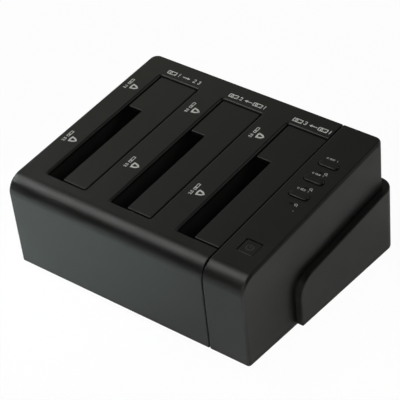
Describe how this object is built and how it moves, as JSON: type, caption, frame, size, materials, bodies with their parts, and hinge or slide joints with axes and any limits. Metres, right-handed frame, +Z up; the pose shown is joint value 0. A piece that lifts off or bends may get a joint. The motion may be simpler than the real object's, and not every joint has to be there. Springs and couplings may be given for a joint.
{
  "type": "drive duplicator",
  "caption": "Black desktop hard-drive dock and copier with sloping top, upright drive bays under sprung flaps, a row of keys and rear connectors.",
  "frame": {"origin": "middle of the object's footprint on the floor, under its bounding box", "axes": "+X towards the control panel's side, +Y from the lower front to the higher back, +Z up"},
  "size_m": [0.1624, 0.147, 0.0788],
  "materials": {
    "case_plastic": "satin black moulded plastic with a very fine texture",
    "base_plastic": "matte black moulded plastic",
    "well_plastic": "matte black moulded plastic",
    "flap_plastic": "satin black moulded plastic",
    "key_plastic": "satin black moulded plastic",
    "lamp_plastic": "smoked clear light pipe",
    "socket_plastic": "black glass-filled plastic",
    "contact_metal": "gold-plated contacts",
    "board": "green solder mask",
    "can_metal": "plain aluminium cans",
    "steel": "plated steel",
    "ribbon_film": "pale flat ribbon cable",
    "foot_rubber": "soft black rubber"
  },
  "bodies": {
    "housing": {"main_shell": "case_plastic", "control_housing": "case_plastic", "side_plate": "case_plastic", "base_cover": "base_plastic", "feet": "foot_rubber", "base_screws": "steel", "bay_well_1": "well_plastic", "bay_well_2": "well_plastic", "bay_well_3": "well_plastic", "hinge_pin_1": "steel", "hinge_pin_2": "steel", "hinge_pin_3": "steel", "flap_spring_1": "steel", "flap_spring_2": "steel", "flap_spring_3": "steel", "main_board": "board", "drive_socket_1": "socket_plastic", "drive_socket_2": "socket_plastic", "drive_socket_3": "socket_plastic", "socket_contacts": "contact_metal", "board_chips": "socket_plastic", "board_capacitors": "can_metal", "usb_socket": "steel", "usb_core": "socket_plastic", "power_jack": "socket_plastic", "control_board": "board", "key_switches": "socket_plastic", "status_lamps": "lamp_plastic", "board_screws": "steel", "panel_ribbon": "ribbon_film", "ribbon_headers": "socket_plastic"},
    "flap_1": {"bay_flap_1": "flap_plastic"},
    "flap_2": {"bay_flap_2": "flap_plastic"},
    "flap_3": {"bay_flap_3": "flap_plastic"},
    "power_button_1": {"power_key_1": "key_plastic", "power_plunger_1": "socket_plastic"},
    "power_button_2": {"power_key_2": "key_plastic", "power_plunger_2": "socket_plastic"},
    "power_button_3": {"power_key_3": "key_plastic", "power_plunger_3": "socket_plastic"},
    "start_button": {"start_key": "key_plastic", "start_plunger": "socket_plastic"}
  },
  "joints": [
    {"name": "flap_1_swing", "type": "hinge", "parent": "housing", "child": "flap_1", "pos_m": [-0.0354, -0.00747, 0.06525], "axis": [0, -0.9898, -0.1426], "range_deg": [0, 88], "stiffness_Nm_per_rad": 0.02, "springref_deg": -20.05, "deforming": ["flap_spring_1"]},
    {"name": "flap_2_swing", "type": "hinge", "parent": "housing", "child": "flap_2", "pos_m": [0.00905, -0.00747, 0.06525], "axis": [0, -0.9898, -0.1426], "range_deg": [0, 88], "stiffness_Nm_per_rad": 0.02, "springref_deg": -20.05, "deforming": ["flap_spring_2"]},
    {"name": "flap_3_swing", "type": "hinge", "parent": "housing", "child": "flap_3", "pos_m": [0.0535, -0.00747, 0.06525], "axis": [0, -0.9898, -0.1426], "range_deg": [0, 88], "stiffness_Nm_per_rad": 0.02, "springref_deg": -20.05, "deforming": ["flap_spring_3"]},
    {"name": "power_button_1_press", "type": "slide", "parent": "housing", "child": "power_button_1", "axis": [0, 0.1426, -0.9898], "range_m": [0, 0.0006], "stiffness_N_per_m": 900, "springref_m": -0.0004},
    {"name": "power_button_2_press", "type": "slide", "parent": "housing", "child": "power_button_2", "axis": [0, 0.1426, -0.9898], "range_m": [0, 0.0006], "stiffness_N_per_m": 900, "springref_m": -0.0004},
    {"name": "power_button_3_press", "type": "slide", "parent": "housing", "child": "power_button_3", "axis": [0, 0.1426, -0.9898], "range_m": [0, 0.0006], "stiffness_N_per_m": 900, "springref_m": -0.0004},
    {"name": "start_button_press", "type": "slide", "parent": "housing", "child": "start_button", "axis": [0, 0.1426, -0.9898], "range_m": [0, 0.0006], "stiffness_N_per_m": 900, "springref_m": -0.0004}
  ]
}
